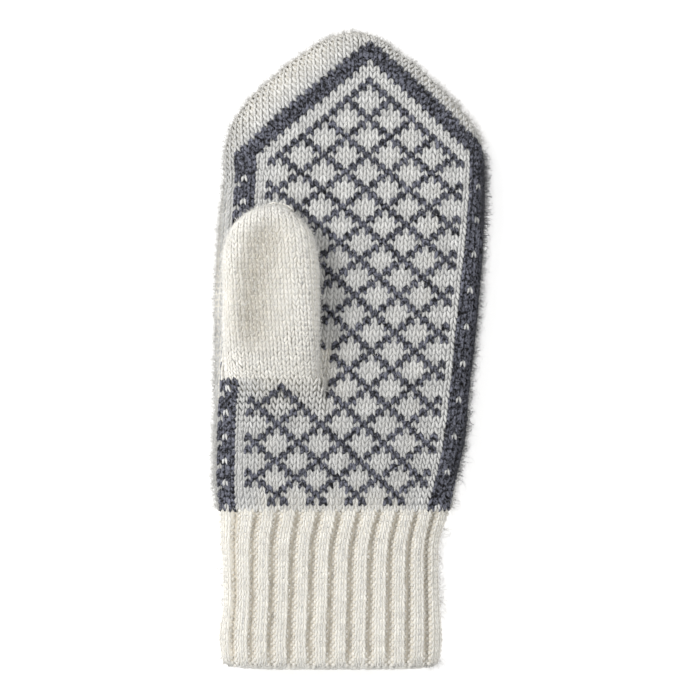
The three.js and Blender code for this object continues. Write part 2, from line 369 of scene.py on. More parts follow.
def thumb_share(over, distance):
    """Height of the thumb's upper side as a share of its rise, and of its side edge."""
    edge = THUMB_EDGE * np.clip((distance - THUMB_START) / THUMB_EDGE_RISE, 0, 1)
    return edge + (1 - edge) * rounded(over / THUMB_MARGIN), edge


DENT_DEPTH = 3.0 * MM
DENT_SPREAD = 8.5 * MM
DENT_ENDS = np.array([(126, 0), (140, 1), (177, 1), (187, 0)]) * [MM, 1]
DENT_MIDDLE = np.array([(120, -31.5), (139, -33), (151, -33), (167, -30.5), (178, -28), (186, -26)]) * MM


def thumb_dent(plan):
    """A soft hollow along the thumb, where the empty mitten has sunk in."""
    middle = np.interp(plan[:, 1], *DENT_MIDDLE.T)
    off = (plan[:, 0] - middle) / DENT_SPREAD
    return DENT_DEPTH * np.exp(-off**2) * np.interp(plan[:, 1], *DENT_ENDS.T)


def thumb_level(plan, over):
    """Height of the upper side of the thumb, over the palm that it lies on."""
    rise = measure_at(THUMB_SECTIONS, RISE, plan[:, 1])
    _, _, palm_inset = nearest_edge(HAND_OUTLINE, plan)
    share, _ = thumb_share(over, plan[:, 1])
    return palm_level(np.maximum(palm_inset, 0), plan[:, 1]) + rise * share - thumb_dent(plan)


def on_thumb(flat):
    """Carry flat knitting onto the thumb, which lies on the palm. Its second measure is the climb."""
    distance = np.interp(flat[:, 1], climb, climb_at)
    past = np.maximum(flat[:, 1] - climb[-1], 0) + np.minimum(flat[:, 1], 0)
    foot, inward, inset = nearest_edge(THUMB_OUTLINE, np.column_stack([flat[:, 0], distance + past]))
    length = inset + THUMB_SPARE
    above = length >= 0
    over = inset_along(THUMB_CURVE, np.maximum(length, 0))
    under = inset_along(THUMB_UNDER_CURVE, np.maximum(-length, 0))
    plan = foot + inward * np.where(above, over, under)[:, None]
    rise = measure_at(THUMB_SECTIONS, RISE, plan[:, 1])
    _, _, palm_inset = nearest_edge(HAND_OUTLINE, plan)
    base = palm_level(np.maximum(palm_inset, 0), plan[:, 1])
    _, edge = thumb_share(over, plan[:, 1])
    bottom = base + rise * edge * (1 - rounded(under / THUMB_UNDER_MARGIN))
    level = np.where(above, thumb_level(plan, over), bottom)
    return np.column_stack([plan + [HEM_X, HEM_Y], level])


def gusset(plan):
    """How far the palm is lifted where the thumb begins to rise from it."""
    rise = measure_at(THUMB_SECTIONS, RISE, plan[:, 1])
    off = np.abs(plan[:, 0] - THUMB_SECTIONS[0, MIDDLE])
    lifted = rise * rounded(np.clip((GUSSET_HALF_WIDTH - off) / THUMB_MARGIN, 0, 1))
    return lifted * (plan[:, 1] < THUMB_START + NEARBY)


def on_palm_and_gusset(flat):
    """Carry flat knitting onto the palm, with the slope from which the thumb rises."""
    place = on_palm(flat)
    place[:, 2] += gusset(place[:, :2] - [HEM_X, HEM_Y])
    return place


# %% [markdown]
# ## One stitch
#
# A plain knitted stitch shows two legs that spread from a point, like a tent. Each leg is a piece of
# yarn that comes up from behind, swells, and dives behind the row below. One leg is a small sphere
# drawn out into a spindle, bent down at its foot and leaned over. The other leg is its mirror image.
# Each has only a few dozen faces, because there are thousands of stitches.

# %% Model the stitch
LEG_SIDES = 5
LEG_RINGS = 5
SIDE_UP = -math.radians(18)  # puts one corner of the five-sided leg on top
STITCH_WIDTH = 2.95 * MM
STITCH_HEIGHT = 2.47 * MM
LEG_HALF_WIDTH = 0.66 * MM
LEG_HALF_DEPTH = 0.5 * MM
FULL_HALF_WIDTH = 0.8 * MM
FULL_HALF_DEPTH = 0.66 * MM
LEG_HALF_LENGTH = 1.85 * MM
LEG_LEAN = math.radians(19)
LEG_APART = 0.8 * MM


def spindle(name, half_width, half_length, half_depth):
    """A small sphere drawn out along Y, modelled at the origin, as a new object."""
    deselect()
    bpy.ops.mesh.primitive_uv_sphere_add(
        segments=LEG_SIDES, ring_count=LEG_RINGS, radius=1, rotation=(math.pi / 2, SIDE_UP, 0)
    )
    made = bpy.context.object
    made.name = name
    bpy.ops.object.transform_apply(rotation=True)
    bpy.ops.object.mode_set(mode="EDIT")
    bpy.ops.mesh.select_all(action="SELECT")
    bpy.ops.transform.resize(value=(half_width, half_length, half_depth), center_override=(0, 0, 0))
    bpy.ops.object.mode_set(mode="OBJECT")
    return made


def select_points(made, wanted):
    """Select the points of a mesh that a test on their place picks."""
    bpy.ops.object.mode_set(mode="EDIT")
    bpy.ops.mesh.select_mode(type="VERT")
    bpy.ops.mesh.select_all(action="DESELECT")
    bpy.ops.object.mode_set(mode="OBJECT")
    for point in made.data.vertices:
        point.select = bool(wanted(point.co))
    bpy.ops.object.mode_set(mode="EDIT")


# Rings of the leg from head to foot: place along the leg, width to be given, and how far it is raised.
LEG_PROFILE = np.array([
    (1.0, 1.0, -0.45),
    (0.81, 0.7, -0.14),
    (0.31, 1.0, 0.02),
    (-0.31, 1.0, 0.04),
    (-0.81, 1.15, -0.08),
    (-1.0, 1.0, -0.4),
])


def knit_stitch(name, half_width, half_depth, lean=LEG_LEAN):
    """Two legs that lean together at the top, modelled at the origin."""
    made = spindle(name, half_width, LEG_HALF_LENGTH, half_depth)
    for at, wide, raised in LEG_PROFILE:
        select_points(made, lambda co: abs(co.y / LEG_HALF_LENGTH - at) < 0.1)
        bpy.ops.transform.resize(value=(wide, 1, wide), center_override=(0, 0, 0))
        bpy.ops.transform.translate(value=(0, 0, raised * MM))
    # The whole leg leans, and stands to one side of the middle. The other leg is its mirror image.
    bpy.ops.mesh.select_all(action="SELECT")
    bpy.ops.transform.rotate(value=-lean, orient_axis="Z", center_override=(0, 0, 0))
    bpy.ops.transform.translate(value=(LEG_APART, 0, 0))
    bpy.ops.mesh.duplicate()
    bpy.ops.transform.resize(value=(-1, 1, 1), center_override=(0, 0, 0))
    bpy.ops.mesh.select_all(action="SELECT")
    bpy.ops.mesh.normals_make_consistent(inside=False)
    bpy.ops.object.mode_set(mode="OBJECT")
    head = max(made.data.vertices, key=lambda v: v.co.y).co
    print(name, "points:", len(made.data.vertices), "head at x in mm:", round(abs(head.x) / MM, 2))
    return made


stitch = knit_stitch("stitch", LEG_HALF_WIDTH, LEG_HALF_DEPTH)
full_stitch = knit_stitch("full_stitch", FULL_HALF_WIDTH, FULL_HALF_DEPTH)

# %% [markdown]
# ## Laying stitches on the form
#
# A stitch is copied to every place of the knitting. Each copy is turned so that it lies in the surface:
# across the column, along it, and out of it. The three directions come from two places just beside the
# stitch. No two hand-made stitches are quite alike, so each one is moved, turned and sized a little,
# from a seeded source of chance that gives the same mitten every time.

# %% Directions on a surface
chance = np.random.default_rng(11)


def unit(arrows):
    return arrows / np.maximum(np.linalg.norm(arrows, axis=1), 1e-12)[:, None]


def directions(surface, flat, beside=NEARBY):
    """The place on the surface for each flat place, with unit arrows across, along and outwards."""
    sideways = np.array([beside, 0])
    upwards = np.array([0, NEARBY])
    place = surface(flat)
    across = unit(surface(flat + sideways) - surface(flat - sideways))
    along = surface(flat + upwards) - surface(flat - upwards)
    out = unit(np.cross(across, along))
    return place, across, np.cross(out, across), out


def turned(across, along, angles):
    """Arrows across and along, turned in the surface."""
    c = np.cos(angles)[:, None]
    s = np.sin(angles)[:, None]
    return across * c + along * s, along * c - across * s


# %% Copies of a small shape as one mesh
UNEVEN_PLACE = 0.1 * MM
UNEVEN_TURN = math.radians(3)
UNEVEN_SIZE = 0.06
UNEVEN_SHADE = 0.05


def points_of(made):
    points = np.zeros(len(made.data.vertices) * 3)
    made.data.vertices.foreach_get("co", points)
    return points.reshape(-1, 3)


def copies(name, shape, places, size=(1, 1, 1), turn=0, sunk=0, dark=0, long=1, **marks):
    """A new piece of joined copies of a shape, one at each place, with a shade of its own for each.

    Long draws the copies out along the column, where the surface spaces the rows apart. Marks are
    further values for each copy that its finish can read.
    """
    place, across, along, out = places
    count = len(place)
    across, along = turned(across, along, turn + chance.normal(0, UNEVEN_TURN, count))
    place = place + across * chance.normal(0, UNEVEN_PLACE, count)[:, None]
    place = place + along * chance.normal(0, UNEVEN_PLACE, count)[:, None]
    place = place - out * np.broadcast_to(sunk, count)[:, None]
    points = points_of(shape) * size
    grown = 1 + chance.normal(0, UNEVEN_SIZE, count)
    laid = place[:, None] + points[None, :, :1] * across[:, None] * grown[:, None, None]
    laid = laid + points[None, :, 1:2] * along[:, None] * np.broadcast_to(long, count)[:, None, None]
    laid = laid + points[None, :, 2:] * out[:, None] * grown[:, None, None]
    faces = [tuple(face.vertices) for face in shape.data.polygons]
    stride = len(points)
    every = [tuple(v + i * stride for v in face) for i in range(count) for face in faces]
    mesh = bpy.data.meshes.new(name)
    mesh.from_pydata(laid.reshape(-1, 3).tolist(), [], every)
    # Dark adds to each copy's own uneven tone; for some pieces it holds painted shade, for the palm painted
    # light as well.
    shade = np.repeat(chance.normal(0, UNEVEN_SHADE, count) + dark, stride)
    mesh.attributes.new("shade", "FLOAT", "POINT").data.foreach_set("value", shade)
    for mark, values in marks.items():
        each = np.repeat(np.broadcast_to(values, count), stride)
        mesh.attributes.new(mark, "FLOAT", "POINT").data.foreach_set("value", each)
    winding = np.array([loop.uv[:] for loop in shape.data.uv_layers.active.data])
    layer = mesh.uv_layers.new(name="yarn")
    layer.data.foreach_set("uv", np.tile(winding, (count, 1)).ravel())
    made = bpy.data.objects.new(name, mesh)
    bpy.context.scene.collection.objects.link(made)
    select_only(made)
    bpy.ops.object.shade_smooth()
    triangles = sum(len(face) - 2 for face in faces) * count
    print(name, "copies:", count, "triangles:", triangles)
    return made


def chosen(places, keep):
    return tuple(part[keep] for part in places)


# %% [markdown]
# ## The palm pattern
#
# The palm shows a lattice of one-stitch diagonal lines that cross every six stitches, with a plain patch
# where the thumb grows out. A border runs up both sides and meets in a point over the fingertips. A
# knitter reads such a pattern from a chart by column and row, and here it is written as a rule instead.

# %% Where the palm is charcoal
REPEAT = 6
FIRST_CROSSING = 5
LATTICE_EDGE = 13  # last column of the lattice to each side
TIP_ROW = 71  # row in which the lattice comes to its point
BORDER_COLUMN = 15  # first column of the right border; the left one begins a column further out
BORDER_COLUMNS = 3
STRIPE = (4, 6)  # first and last row of the stripe above the lattice, counted along the slope
SPECKS_END = 3
TICK_REPEAT = 4

# The plain patch where the thumb grows out. Its lower edge falls away to both sides of its middle.
PATCH_RIGHT = -3
PATCH_MIDDLE = -9
PATCH_EDGE = 20
PATCH_LEFT = -12  # further left the lower edge is level
PATCH_EDGE_LEFT = 18
PATCH_END = 27  # row from which the lattice goes on behind the thumb


def palm_chart(column, row):
    """True where the palm is charcoal. Columns count from the middle of the pattern, rows from the ribs."""
    side = np.abs(column)
    past = row + side - TIP_ROW
    rising = (column - row + FIRST_CROSSING) % REPEAT == 0
    falling = (column + row - FIRST_CROSSING) % REPEAT == 0
    lattice = (rising | falling) & (row >= 1) & (side <= LATTICE_EDGE) & (past <= 0)
    patch_edge = PATCH_EDGE - np.abs(column - PATCH_MIDDLE)
    patch_edge = np.where(column < PATCH_LEFT, PATCH_EDGE_LEFT, patch_edge)
    thumb_patch = (column <= PATCH_RIGHT) & (row > patch_edge) & (row < PATCH_END)
    stripe = (past >= STRIPE[0]) & (past <= STRIPE[1]) & (side <= BORDER_COLUMN)
    first = np.where(column < 0, BORDER_COLUMN + 1, BORDER_COLUMN)
    last = np.where(column < 0, first, first + 1) + BORDER_COLUMNS - 1
    border = (side >= first) & (side <= last) & (past <= STRIPE[1])
    specks = (column == BORDER_COLUMN + 1) & (row % REPEAT == 0)
    beat = (row - (row < PATCH_END)) % TICK_REPEAT
    specks |= (column == -BORDER_COLUMN - 2) & (beat == 3) | (column == -BORDER_COLUMN - 3) & (beat == 2)
    return (lattice & ~thumb_patch | stripe | border) & ~(specks & (past < SPECKS_END))


def crowding(chart, column, row):
    """How many of a stitch's four neighbours are charcoal. Their fibres dim a natural stitch."""
    beside = chart(column - 1, row).astype(int) + chart(column + 1, row)
    return beside + chart(column, row - 1) + chart(column, row + 1)


FLOATS_REACH = range(-4, 5)
FLOATS_SHARE = 3.5


def floats_behind(chart, column, row):
    """How much charcoal yarn is carried behind a stitch, from none to 1, by what lies round it."""
    around = [chart(column + c, row + r) for c in FLOATS_REACH for r in FLOATS_REACH]
    return np.clip(FLOATS_SHARE * np.mean(around, axis=0), 0, 1)


# %% Places of the palm stitches
ROWS = 86
COLUMNS = 26
FAN = math.radians(22)
FAN_START = 3
FAN_SHIFT = 0.35 * MM
FAN_RISE = 0.4
EDGE_KEPT = -0.9 * MM  # palm stitches go this far past the fold, and back stitches stop short of it
UNDER_THUMB = 4 * MM  # further in than this, the palm under the thumb can't be seen
THUMB_FRONT_END = 124 * MM

# Middle of the palm pattern, and the width of a column, by distance from the hem.
PATTERN_MIDDLE = np.array([(64.8, 0.6), (78.7, 1.2), (86.1, 2.0), (101.3, 3.4), (116, 5.1), (131.2, 6.4),
                           (153, 8.6), (175.1, 11.1), (205, 13.5), (242.3, 14.6), (270, 16.0)]) * MM
COLUMN_WIDTH = np.array([(64, 2.6), (70, 2.68), (79, 2.82), (92, 2.92), (105, 2.95)]) * MM

# How far the rows stand higher than even spacing puts them, and how far they sag at the right edge.
ROW_SHIFT = np.array([(64, 0.0), (71, 0.8), (80, 0.0), (88, -0.5), (110, 0.0), (124, 0.0), (150, 0.7),
                      (165, 0.8), (180, 0.1), (195, -0.2), (210, -0.9), (222, -0.9), (235, -0.1),
                      (245, 0.4), (258, 1.5)]) * MM
RIGHT_SAG = np.array([(64, 0.0), (185, 0.0), (205, 0.9), (225, 1.1), (245, 0.6)]) * MM

# How far the borders lie aside of even columns, and how far the left side is drawn out.
LEFT_BORDER_SHIFT = np.array([(64, -1.2), (71, -0.6), (77, 0.8), (90, 1.5), (110, 1.0), (150, 1.0),
                              (190, 1.4), (215, 0.8), (235, 0.8)]) * MM
RIGHT_BORDER_SHIFT = np.array([(64, 0.2), (90, 0.6), (110, 0.4), (126, 0.7), (192, 0.6), (205, 0.4),
                               (215, 0.0)]) * MM
LEFT_SPREAD = np.array([(165, 0.0), (180, -0.9), (197, -1.4), (215, -0.8), (230, -0.8), (245, -0.3)]) * MM

grids = np.meshgrid(np.arange(-COLUMNS, COLUMNS + 1), np.arange(ROWS))
all_columns, all_rows = [grid.ravel() for grid in grids]


def palm_flat(column, row):
    """Flat places of palm stitches, and how far each one leans. Over the point the columns fan out."""
    up = KNIT_START + STITCH_HEIGHT * (row + 0.5)
    sag = np.interp(up, *RIGHT_SAG.T) * np.clip(column / LATTICE_EDGE, 0, 1) ** 2
    up = up + np.interp(up, *ROW_SHIFT.T) - sag
    middle = smooth_through(*PATTERN_MIDDLE.T, up)
    width = np.interp(up, *COLUMN_WIDTH.T)
    past = row + np.abs(column) - TIP_ROW
    away = np.clip(past - FAN_START, 0, None) * FAN_SHIFT
    side = np.tanh(column / 2)
    border = np.clip(np.abs(column) - BORDER_COLUMN + 2, 0, 2) / 2
    left = np.interp(up, *LEFT_BORDER_SHIFT.T)
    right = np.interp(up, *RIGHT_BORDER_SHIFT.T)
    aside = border * np.where(column < 0, left, right)
    aside += np.interp(up, *LEFT_SPREAD.T) * np.clip((-column - 5) / 7, 0, 1)
    flat = np.column_stack([middle + column * width + side * away + aside, up + FAN_RISE * away])
    return flat, -side * FAN * np.clip((past - 2) / 4, 0, 1)


flat, palm_lean = palm_flat(all_columns, all_rows)
_, _, palm_inset = nearest_edge(HAND_OUTLINE, flat)
_, _, thumb_inset = nearest_edge(THUMB_OUTLINE, flat)
under_thumb = (thumb_inset > UNDER_THUMB) & (flat[:, 1] > THUMB_START)
on_front_of_thumb = (thumb_inset > 0) & (flat[:, 1] > THUMB_START) & (flat[:, 1] < THUMB_FRONT_END)
kept = (palm_inset + PALM_SPARE > EDGE_KEPT) & ~under_thumb & ~on_front_of_thumb
column, row = all_columns[kept], all_rows[kept]
print("palm stitches:", kept.sum())
palm_places = directions(on_palm_and_gusset, flat[kept])
upwards = np.array([0, NEARBY])
climbing = on_palm_and_gusset(flat[kept] + upwards) - on_palm_and_gusset(flat[kept] - upwards)
palm_long = np.clip(np.linalg.norm(climbing, axis=1) / (2 * NEARBY), 1, 1.6)
palm_dark = palm_chart(column, row)
palm_lean = palm_lean[kept]

# %% Tone and height of the palm stitches
STITCH_SINK = 0.6 * MM
CHARCOAL_SINK = 0.35 * MM
CHARCOAL_SIZE = (1.06, 1.2, 1)
HEATHER = 0.12  # how unlike each other the charcoal stitches are
DIM_EACH = -0.045  # for each charcoal neighbour
# Painted shade: natural palm stitches near the fold are darker, where the surface turns away from the
# light.
FOLD_PAINTED_SHADE = -0.14
FOLD_SHADE_WIDTH = 7 * MM
# Painted light: the two columns beside the right border are made brighter, where the flat palm takes the
# light more fully.
BORDER_PAINTED_LIGHT = 0.1  # the two columns beside the right border are brighter
PATCH_BLEND = 7  # rows over which the plain patch takes on the tone of the thumb
PATCH_TONE = 0.4
SPECK_DIM = -0.08
SPECK_RISE = 0.3 * MM

# How much dimmer the palm is by distance from the hem, and the painted shade on its left rim, which turns
# to a little painted light near the cuff.
DIM = np.array([(64, -0.16), (120, -0.15), (190, -0.09), (262, -0.07)]) * [MM, 1]
LEFT_RIM_PAINTED_SHADE = np.array([(64, 0.05), (120, 0.05), (150, -0.05), (200, -0.1), (262, -0.08)]) * [MM, 1]

left_rim = np.clip((-BORDER_COLUMN - column) / 2, 0, 1)
at_fold = np.clip(1 - palm_inset[kept] / FOLD_SHADE_WIDTH, 0, 1)
up = flat[kept, 1]
# The palm's tone: dimmer by height and by charcoal neighbours, with painted shade at the fold and the left
# rim and painted light by the right border.
palm_tone_and_painted_light = np.interp(up, *DIM.T) + DIM_EACH * crowding(palm_chart, column, row) + FOLD_PAINTED_SHADE * at_fold
palm_tone_and_painted_light += left_rim * np.interp(up, *LEFT_RIM_PAINTED_SHADE.T)
palm_tone_and_painted_light += BORDER_PAINTED_LIGHT * ((column == BORDER_COLUMN - 1) | (column == BORDER_COLUMN - 2))
in_patch = (column <= PATCH_RIGHT) & (column >= -BORDER_COLUMN) & (row < PATCH_END)
patch = np.where(in_patch, np.clip((PATCH_END - 1 - row) / PATCH_BLEND, 0, 1), 1)
palm_tone_and_painted_light *= PATCH_TONE + (1 - PATCH_TONE) * patch
palm_floats = floats_behind(palm_chart, column, row) * patch

# The natural stitches inside the borders stand as high as the fuller charcoal ones round them.
side = np.abs(column)
speck = ~palm_dark & (np.abs(column + 0.5) > BORDER_COLUMN) & (side < BORDER_COLUMN + BORDER_COLUMNS)
speck &= row + side < TIP_ROW + SPECKS_END
palm_tone_and_painted_light = np.where(speck, SPECK_DIM, palm_tone_and_painted_light)
palm_sink = STITCH_SINK - np.where(speck, SPECK_RISE, 0)


# %% Palm stitches
def both_colours(side_name, places, is_dark, lean, sunk, dim, long, floats):
    """The natural and the charcoal stitches of one side of the hand, as two pieces."""
    white = ~is_dark
    natural = copies(side_name + "_natural_stitches", stitch, chosen(places, white), turn=lean[white],
                     sunk=sunk[white], dark=dim[white], long=long[white], floats=floats[white])
    heather = chance.normal(0, HEATHER, is_dark.sum())
    charcoal = copies(side_name + "_charcoal_stitches", full_stitch, chosen(places, is_dark),
                      size=CHARCOAL_SIZE, turn=lean[is_dark], sunk=CHARCOAL_SINK, dark=heather,
                      long=long[is_dark])
    return natural, charcoal


palm_natural, palm_charcoal = both_colours("palm", palm_places, palm_dark, palm_lean, palm_sink, palm_tone_and_painted_light,
                                           palm_long, palm_floats)

# %% [markdown]
# ## Wool
#
# Wool yarn is matt and a little downy, and never one even colour. The natural white is warm, and the
# charcoal is a heather, spun from black and grey fibres. Both finishes share one recipe: a base colour
# mixed from two tints by noise, each stitch a little lighter or darker than its neighbours, the twist of
# the plies as a spiral bump along the yarn, and fine fibres as a smaller bump. The natural wool looks
# cooler where charcoal yarn is carried behind it, and in hollows a painted shade makes it deeper and
# warmer.


# %% Helpers for finishes
def new_finish(name, roughness, shine):
    """A new material, with its nodes, its links and its shader."""
    material = bpy.data.materials.new(name)
    material.use_nodes = True
    nodes = material.node_tree.nodes
    shader = nodes["Principled BSDF"]
    set_inputs(shader, {"Roughness": roughness, "Specular IOR Level": shine})
    return material, nodes, material.node_tree.links, shader


def noise_over(nodes, links, scale, **settings):
    """Noise that is fixed to the piece."""
    place = nodes.new("ShaderNodeTexCoord")
    noise = nodes.new("ShaderNodeTexNoise")
    set_inputs(noise, {"Scale": scale, **settings})
    links.new(place.outputs["Object"], noise.inputs["Vector"])
    return noise.outputs["Fac"]


def value_of(nodes, mark):
    """A value that the piece holds for each of its points."""
    holder = nodes.new("ShaderNodeAttribute")
    holder.attribute_name = mark
    return holder.outputs["Fac"]


def mixed(nodes, links, share, first, second):
    """A colour between two others, each of them a tint or the colour of another node."""
    mix = nodes.new("ShaderNodeMix")
    mix.data_type = "RGBA"
    links.new(share, mix.inputs["Factor"])
    for socket, colour in (("A", first), ("B", second)):
        if isinstance(colour, tuple):
            mix.inputs[socket].default_value = (*colour, 1)
        else:
            links.new(colour, mix.inputs[socket])
    return mix.outputs["Result"]


def raised(nodes, links, height, strength, distance, normal=None):
    """The direction of a surface with small bumps on it."""
    bump = nodes.new("ShaderNodeBump")
    set_inputs(bump, {"Strength": strength, "Distance": distance})
    links.new(height, bump.inputs["Height"])
    if normal:
        links.new(normal, bump.inputs["Normal"])
    return bump.outputs["Normal"]


# %% The wool recipe
FIBRE_NOISE = 3500
LIGHT_REACH = 0.5 * MM  # how far light goes inside the yarn
TWIST_HEIGHT = 0.15 * MM
FIBRE_HEIGHT = 0.1 * MM


def wool(name, deep, light, contrast, down, through, marked=(), grain=1200):
    """A wool finish that runs from a deep tint to a light one. Down is how soft its edges look.

    Through is how much light passes through the yarn, and grain is how fine its heather is. Marked
    names values of the piece that draw the colour towards another one.
    """
    material, nodes, links, shader = new_finish(name, 0.95, 0.15)
    set_inputs(shader, {"Sheen Weight": down, "Sheen Roughness": 0.6})
    set_inputs(shader, {"Subsurface Weight": through, "Subsurface Radius": (1, 1, 1)})
    set_inputs(shader, {"Subsurface Scale": LIGHT_REACH})
    spread = nodes.new("ShaderNodeMapRange")
    set_inputs(spread, {"From Min": 0.5 - 0.5 / contrast, "From Max": 0.5 + 0.5 / contrast})
    links.new(noise_over(nodes, links, grain, Detail=3, Roughness=0.7), spread.inputs["Value"])
    colour = mixed(nodes, links, spread.outputs["Result"], deep, light)
    for mark, other in marked:
        colour = mixed(nodes, links, value_of(nodes, mark), colour, other)
    brighter = nodes.new("ShaderNodeMath")
    brighter.operation = "ADD"
    brighter.inputs[1].default_value = 1
    links.new(value_of(nodes, "shade"), brighter.inputs[0])
    shaded = nodes.new("ShaderNodeVectorMath")
    shaded.operation = "SCALE"
    links.new(colour, shaded.inputs[0])
    links.new(brighter.outputs["Value"], shaded.inputs["Scale"])
    links.new(shaded.outputs["Vector"], shader.inputs["Base Color"])
    yarn = nodes.new("ShaderNodeUVMap")
    yarn.uv_map = "yarn"
    twist = nodes.new("ShaderNodeTexWave")
    twist.wave_type = "BANDS"
    twist.bands_direction = "DIAGONAL"
    set_inputs(twist, {"Scale": 1.6, "Distortion": 1.5})
    links.new(yarn.outputs["UV"], twist.inputs["Vector"])
    twisted = raised(nodes, links, twist.outputs["Fac"], 0.35, TWIST_HEIGHT)
    fibrous = noise_over(nodes, links, FIBRE_NOISE, Detail=2)
    links.new(raised(nodes, links, fibrous, 0.5, FIBRE_HEIGHT, twisted), shader.inputs["Normal"])
    return material


# %% The two wools
NATURAL_DEEP = (0.73, 0.703, 0.64)
NATURAL_LIGHT = (0.81, 0.79, 0.737)
OVER_FLOATS = (0.665, 0.664, 0.65)
# Painted shade: the colour that natural wool is drawn towards in the thumb's dent, the furrows and inside
# the cuff.
HOLLOW_PAINTED_SHADE = (0.48, 0.45, 0.39)
CHARCOAL_DEEP = (0.001, 0.001, 0.002)
CHARCOAL_LIGHT = (0.157, 0.162, 0.2)

natural_wool = wool("natural_wool", NATURAL_DEEP, NATURAL_LIGHT, contrast=2, down=0.2, through=0.85,
                    marked=[("floats", OVER_FLOATS), ("hollow", HOLLOW_PAINTED_SHADE)])
charcoal_wool = wool("charcoal_wool", CHARCOAL_DEEP, CHARCOAL_LIGHT, contrast=6, down=0.1, through=0,
                     grain=750)


def dress(piece, material, slot, *replaced):
    """Give a finished piece its wool, and let it ride on the mitten's body."""
    piece.data.materials.clear()
    piece.data.materials.append(material)
    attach(piece, "root")
    if replaced:
        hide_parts(*replaced)


dress(palm_natural, natural_wool, "natural_wool")
dress(palm_charcoal, charcoal_wool, "charcoal_wool")

# %% [markdown]
# ## The back pattern
#
# The back of the hand carries eight-pointed stars, a common figure of this kind of knitting, in a
# column from the cuff to the fingertips. A star is eight petals around one stitch. Each petal is a
# slanted four-sided figure, so a star can be tested by the distances across and up from its middle.

# %% Where the back is charcoal
# One row for each figure: the row of its middle, and which petals it has: up, side and down.
STARS = np.array([
    (11, 0, 1, 1),
    (23, 1, 1, 1),
    (45, 1, 1, 1),
    (57, 1, 1, 0),
])
OPEN_DIAMOND_ROW = 34
TIP_DIAMOND_ROW = 68
PETAL = 5
TIP_ROW_BACK = 74

# Curls beside the stars: the row of each curl's middle, and whether it opens downwards.
CURLS = np.array([(15, 0), (31, 1), (38, 0), (54, 1)])
CURL_COLUMN = 11


def star(column, up, has_up, has_side, has_down):
    """An eight-pointed star, or part of one."""
    side = np.abs(column)
    rise = np.abs(up)
    low = np.minimum(side, rise)
    high = np.maximum(side, rise)
    petals = (low >= 1) & (low <= PETAL) & (high > low) & (high <= low + PETAL)
    tall = rise > side
    shown = np.where(tall, np.where(up > 0, has_up, has_down), has_side)
    return petals & (shown == 1) | (side + rise == 0)


def ring_of(column, up, least, most):
    """A diamond-shaped ring of stitches."""
    reach = np.abs(column) + np.abs(up)
    return (reach >= least) & (reach <= most)


def curl(column, up, downwards):
    """A small scroll beside a star: a stem that rises outwards and turns in on itself."""
    side = np.abs(column) - CURL_COLUMN
    rise = np.where(downwards == 1, -up, up)
    loop = ring_of(side, rise - 2, 2, 2) & ~((side < 0) & (rise < 2))
    stem = (side + rise == -2) & (rise <= 0) & (side >= -5)
    return loop | stem


def back_chart(column, row):
    """True where the back is charcoal."""
    side = np.abs(column)
    past = row + side - TIP_ROW_BACK
    figures = np.zeros(len(column), dtype=bool)
    for middle, has_up, has_side, has_down in STARS:
        figures |= star(column, row - middle, has_up, has_side, has_down)
    figures |= ring_of(column, row - OPEN_DIAMOND_ROW, 2, 3)
    figures |= ring_of(column, row - TIP_DIAMOND_ROW, 0, 1)
    figures |= ring_of(column, row - TIP_DIAMOND_ROW, 4, 4)
    for middle, downwards in CURLS:
        figures |= curl(column, row - middle, downwards)
    figures |= (row >= 2) & (row <= 4) & (side <= 4) & ((column + row) % 2 == 0)
    stripe = (past >= 0) & (past <= 2) & (side < BORDER_COLUMN)
    border = (side >= BORDER_COLUMN) & (side <= BORDER_COLUMN + 1) & (past <= 2)
    ticks = (side == BORDER_COLUMN) & (row % 4 == 0) | (side == BORDER_COLUMN + 1) & (row % 4 == 2)
    return figures & (past < -2) & (side <= LATTICE_EDGE) | stripe | border & ~(ticks & (past < -1))


# %% Back stitches
BACK_DIM = -0.1

up = KNIT_START + STITCH_HEIGHT * (all_rows + 0.5)
past = all_rows + np.abs(all_columns) - TIP_ROW_BACK
side = np.tanh(all_columns / 2)
middle = measure_at(SECTIONS, MIDDLE, up)
across = all_columns * np.interp(up, *COLUMN_WIDTH.T) + side * np.clip(past, 0, None) * FAN_SHIFT
flat = np.column_stack([across - middle, up])
FROM_BELOW = np.array([-1, 1])  # the back is seen from below, so its columns run the other way
_, _, back_inset = nearest_edge(HAND_OUTLINE, flat * FROM_BELOW)
kept = back_inset + BACK_SPARE > -EDGE_KEPT
print("back stitches:", kept.sum())
back_places = directions(lambda flat: on_back(flat * FROM_BELOW), flat[kept])
back_lean = (-side * FAN * np.clip((past + 1) / 4, 0, 1))[kept]
column, row = all_columns[kept], all_rows[kept]
back_dark = back_chart(column, row)
back_floats = floats_behind(back_chart, column, row)
back_dim = BACK_DIM + DIM_EACH * crowding(back_chart, column, row)
even = np.ones(len(column))
back_natural, back_charcoal = both_colours("back", back_places, back_dark, back_lean, STITCH_SINK * even,
                                           back_dim, even, back_floats)
dress(back_natural, natural_wool, "natural_wool")
dress(back_charcoal, charcoal_wool, "charcoal_wool")

# %% [markdown]
# ## The thumb
#
# The thumb is knitted in plain natural wool, a little finer than the hand, and its front carries on from
# the palm below without a seam. Its stitches are laid out on the thumb's own form, with the rows spaced
# along the slope by which it rises from the palm. They go round the sides as far as the palm.

# %% Places of the thumb stitches
THUMB_COLUMN_WIDTH = 3.0 * MM
THUMB_ROW_HEIGHT = 2.13 * MM
THUMB_LEAN = math.radians(4)
THUMB_COLUMN_START = -23.4 * MM  # where the middle column begins
FINER = (THUMB_COLUMN_WIDTH / STITCH_WIDTH, 0.95, 0.75)
FULLER = 1.12
THUMB_ROWS = 48
THUMB_COLUMNS = 14

